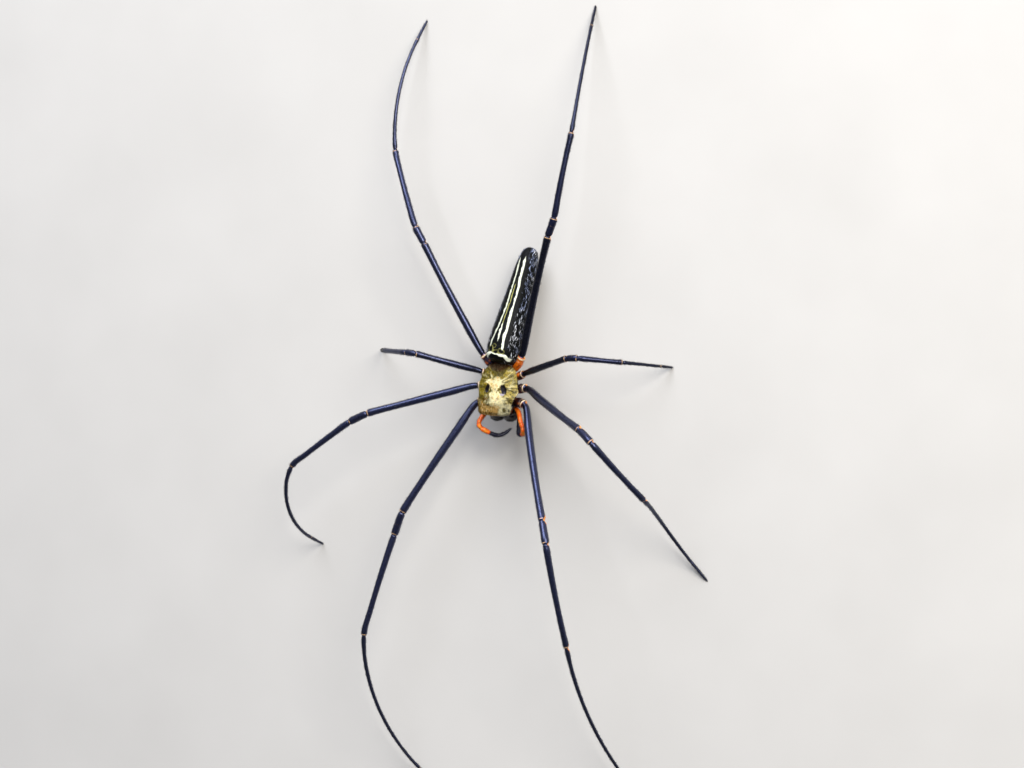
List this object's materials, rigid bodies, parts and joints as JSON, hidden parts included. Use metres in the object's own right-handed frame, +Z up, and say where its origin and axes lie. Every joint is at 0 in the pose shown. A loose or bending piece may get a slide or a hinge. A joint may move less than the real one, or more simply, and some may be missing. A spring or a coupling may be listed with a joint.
{
  "type": "golden silk orb weaver",
  "caption": "Still, life-size model of a female golden silk orb weaver spider, long legs spread as on its web, standing on small flats at its foot tips.",
  "frame": {"origin": "on the floor, under the middle of the whole spider's outline", "axes": "+Z up, -Y the way the head faces, +X the spider's left side"},
  "size_m": [0.0978, 0.1766, 0.0261],
  "materials": {
    "golden_pile": "dense flat golden hair over dark shell, paler cream round the middle",
    "patterned_cuticle": "glossy black with cream lengthwise stripes and pale broken flecks",
    "black_cuticle": "glossy black shell",
    "black_leg_cuticle": "black shell with a faint blue sheen and short dark bristles",
    "navy_cuticle": "satin blue-black shell with a violet-blue sheen",
    "amber_cuticle": "glossy red-brown shell with pale cream rims",
    "orange_cuticle": "glossy bright orange shell",
    "eye_lens": "polished black"
  },
  "bodies": {
    "root": {"abdomen": "patterned_cuticle", "cephalothorax": "golden_pile", "eye_front_lateral_left": "eye_lens", "eye_front_lateral_right": "eye_lens", "eye_front_median_left": "eye_lens", "eye_front_median_right": "eye_lens", "eye_rear_lateral_left": "eye_lens", "eye_rear_lateral_right": "eye_lens", "eye_rear_median_left": "eye_lens", "eye_rear_median_right": "eye_lens", "fang_left": "black_cuticle", "fang_right": "black_cuticle", "jaw_left": "black_cuticle", "jaw_right": "black_cuticle", "leg_1_left_femur": "navy_cuticle", "leg_1_left_hip": "amber_cuticle", "leg_1_left_metatarsus": "black_leg_cuticle", "leg_1_left_patella": "navy_cuticle", "leg_1_left_tibia": "navy_cuticle", "leg_1_right_femur": "navy_cuticle", "leg_1_right_hip": "amber_cuticle", "leg_1_right_metatarsus": "black_leg_cuticle", "leg_1_right_patella": "navy_cuticle", "leg_1_right_tibia": "navy_cuticle", "leg_2_left_femur": "navy_cuticle", "leg_2_left_hip": "amber_cuticle", "leg_2_left_metatarsus": "black_leg_cuticle", "leg_2_left_patella": "navy_cuticle", "leg_2_left_tibia": "navy_cuticle", "leg_2_right_femur": "navy_cuticle", "leg_2_right_hip": "amber_cuticle", "leg_2_right_metatarsus": "black_leg_cuticle", "leg_2_right_patella": "navy_cuticle", "leg_2_right_tibia": "navy_cuticle", "leg_3_left_femur": "navy_cuticle", "leg_3_left_hip": "amber_cuticle", "leg_3_left_metatarsus": "black_leg_cuticle", "leg_3_left_patella": "navy_cuticle", "leg_3_left_tibia": "navy_cuticle", "leg_3_right_femur": "navy_cuticle", "leg_3_right_hip": "amber_cuticle", "leg_3_right_metatarsus": "black_leg_cuticle", "leg_3_right_patella": "navy_cuticle", "leg_3_right_tibia": "navy_cuticle", "leg_4_left_femur": "navy_cuticle", "leg_4_left_hip": "amber_cuticle", "leg_4_left_metatarsus": "black_leg_cuticle", "leg_4_left_patella": "navy_cuticle", "leg_4_left_tibia": "navy_cuticle", "leg_4_right_femur": "navy_cuticle", "leg_4_right_hip": "amber_cuticle", "leg_4_right_metatarsus": "black_leg_cuticle", "leg_4_right_patella": "navy_cuticle", "leg_4_right_tibia": "navy_cuticle", "palp_left_lower": "black_cuticle", "palp_left_upper": "orange_cuticle", "palp_right_lower": "black_cuticle", "palp_right_upper": "orange_cuticle", "pedicel": "amber_cuticle", "spinnerets": "black_cuticle"}
  },
  "joints": []
}
